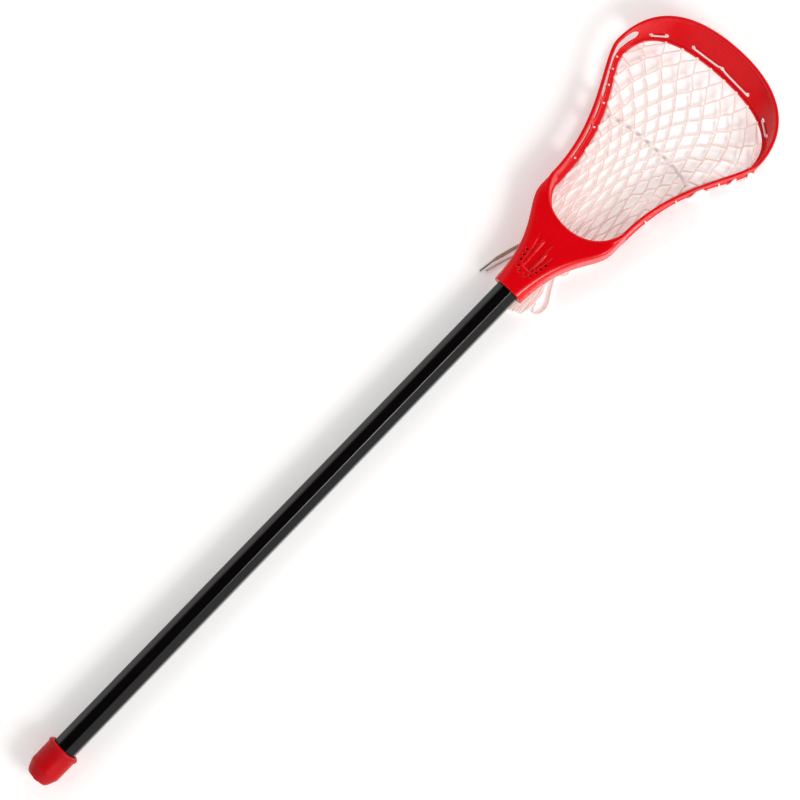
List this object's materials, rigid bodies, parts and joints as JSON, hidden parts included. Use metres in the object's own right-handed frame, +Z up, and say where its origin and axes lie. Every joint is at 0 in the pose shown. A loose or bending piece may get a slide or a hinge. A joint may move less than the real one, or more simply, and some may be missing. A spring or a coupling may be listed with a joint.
{
  "type": "lacrosse stick",
  "caption": "Youth lacrosse stick: octagonal tube, moulded plastic head with a knitted mesh pocket for catching a ball, and a push-on rubber butt cap.",
  "frame": {"origin": "on the ground under the middle of the stick's length and width, with the stick lying open face up", "axes": "+Y along the shaft towards the scoop, +Z up out of the head's open face, +X to the right when looking along +Y from above"},
  "size_m": [0.1812, 0.94, 0.045],
  "materials": {
    "head": "glossy moulded red plastic",
    "shaft": "satin black coated aluminium",
    "cap": "satin red rubber",
    "screw": "zinc plated",
    "mesh": "knitted white nylon",
    "string": "braided white nylon",
    "lace": "woven white polyester",
    "tan_lace": "woven tan polyester",
    "tip": "grey plastic film"
  },
  "bodies": {
    "stick": {"head_frame": "head", "shaft_tube": "shaft", "head_screw": "screw", "pocket_mesh": "mesh", "top_string": "string", "sidewall_string_left": "string", "sidewall_string_right": "string", "bottom_string": "string", "shooting_lace": "lace", "flat_lace_tail": "tan_lace", "lace_tip": "tip", "round_lace_tail": "lace", "cord_loop": "string"},
    "cap": {"end_cap": "cap"}
  },
  "joints": [
    {"name": "end_cap_pull", "type": "slide", "parent": "stick", "child": "cap", "axis": [0, -1, 0], "range_m": [0, 0.045]}
  ]
}
